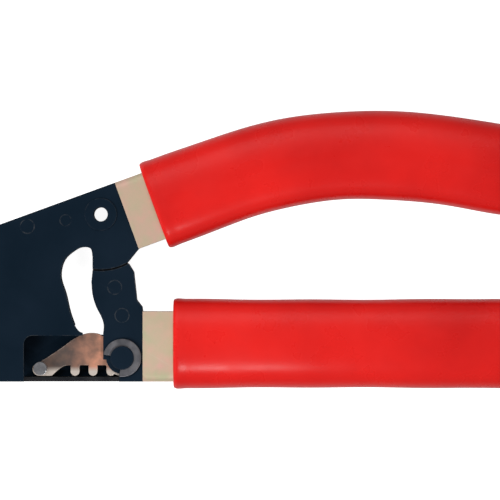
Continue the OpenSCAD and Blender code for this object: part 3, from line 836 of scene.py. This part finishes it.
# Closing spring of the cam: two flat coils, a leg in the cam and one in the plate
def makeCamSpring():
    shape = camSpring
    low, high = (Vector(side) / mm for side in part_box("cam_spring"))
    hinge = Vector(jointNamed("cam_hinge")["pos_m"]) / mm
    radius = high.x - hinge.x - shape["wire"] / 2
    foot = low.z + shape["wire"] / 2
    coil = windCoil("cam_coil", radius, shape["wire"], shape["wire"] + shape["turnGap"],
                    shape["turns"], shape["steps"], shape["sides"])
    turnAboutOrigin(coil, 90, "Z")
    slidePiece(coil, Vector((hinge.x, hinge.y, foot)) * mm)
    legLine = (shape["legStart"], -shape["legBend"], -shape["legBack"])
    leg = bendWire("cam_leg", [Vector((hinge.x + x, hinge.y + radius, foot)) * mm
                               for x in legLine], shape["wire"], shape["sides"])
    angle = math.radians(shape["postAngle"])
    rise = high.z - shape["wire"] / 2
    side = Vector((hinge.x + radius * math.cos(angle), hinge.y + radius * math.sin(angle), 0))
    post = bendWire("cam_post", [(side + Vector((0, 0, z))) * mm
                                 for z in (foot + shape["postFoot"], (foot + rise) / 2,
                                           rise)],
                    shape["wire"], shape["sides"])
    spring = joinPieces("cam_spring_wire", [coil, leg, post])
    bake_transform(spring)
    finishSpring(spring, "cam_spring")


makeReturnSpring()
makeCamSpring()
print("springs wound")

studio = {
    "floor": 0.6, "floorSize": 3, "floorGap": 0.02, "floorGlow": 0.93,
    "skyStrength": 0.25, "sensor": 36, "lens": 400.0, "frameWidth": 178.6,
    "lookAt": (53.2, -12.7),
}
# Places and targets are metres from the point that the camera looks at
softLights = {
    "keyLight": {"place": (-0.7, -0.4, 0.75), "target": (0, 0), "size": (0.6, 0.5),
                 "power": 8.7, "mirrored": False},
    "fillLight": {"place": (-0.12, 0.3, 0.55), "target": (-0.06, 0.08),
                  "size": (0.5, 0.3), "power": 1.9, "mirrored": False},
    "glintLight": {"place": (-0.008, -0.105, 0.15), "target": (-0.008, -0.04),
                   "size": (0.02, 0.01), "power": 0.04, "mirrored": True},
}


def makeFloor():
    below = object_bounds()[0][2] - studio["floorGap"] * mm
    bpy.ops.object.select_all(action="DESELECT")
    bpy.ops.mesh.primitive_plane_add(size=studio["floorSize"], location=(0.05, 0, below))
    floor = bpy.context.object
    floor.name = "floor"
    placeInMesh(floor)
    grey = studio["floor"]
    material, tree, surface, place = startMaterial(
        "floorPaper", Roughness=0.95, Specular_IOR_Level=0.1,
        Base_Color=(grey, grey, grey, 1), Emission_Color=(1, 1, 1, 1))
    seen = addNode(tree, "ShaderNodeLightPath").outputs["Is Camera Ray"]
    tree.links.new(mathNode(tree, "MULTIPLY", seen, studio["floorGlow"]),
                   surface.inputs["Emission Strength"])
    floor.data.materials.append(material)


def addSoftLight(name, look, x, y):
    place = Vector((x + look["place"][0], y + look["place"][1], look["place"][2]))
    target = Vector((x + look["target"][0], y + look["target"][1], 0))
    bpy.ops.object.light_add(type="AREA", location=place)
    light = bpy.context.object
    light.name = name
    light.data.shape = "RECTANGLE"
    light.data.size, light.data.size_y = look["size"]
    light.data.energy = look["power"]
    light.visible_glossy = look["mirrored"]
    light.visible_camera = False
    light.rotation_euler = (target - place).to_track_quat("-Z", "Y").to_euler()


def setUpStudio():
    scene = bpy.context.scene
    world = bpy.data.worlds.new("studioWorld")
    world.use_nodes = True
    sky = world.node_tree.nodes["Background"]
    sky.inputs["Color"].default_value = (1, 1, 1, 1)
    sky.inputs["Strength"].default_value = studio["skyStrength"]
    scene.world = world
    scene.view_settings.view_transform = "Standard"
    x, y = (value * mm for value in studio["lookAt"])
    for name, look in softLights.items():
        addSoftLight(name, look, x, y)


def setUpCamera():
    x, y = (value * mm for value in studio["lookAt"])
    distance = studio["frameWidth"] * mm * studio["lens"] / studio["sensor"]
    bpy.ops.object.camera_add(location=(x, y, distance), rotation=(0, 0, 0))
    camera = bpy.context.object
    camera.data.lens = studio["lens"]
    camera.data.sensor_width = studio["sensor"]
    camera.data.clip_start, camera.data.clip_end = 0.01, 20
    bpy.context.scene.camera = camera


makeFloor()
setUpStudio()
setUpCamera()
print("studio ready")
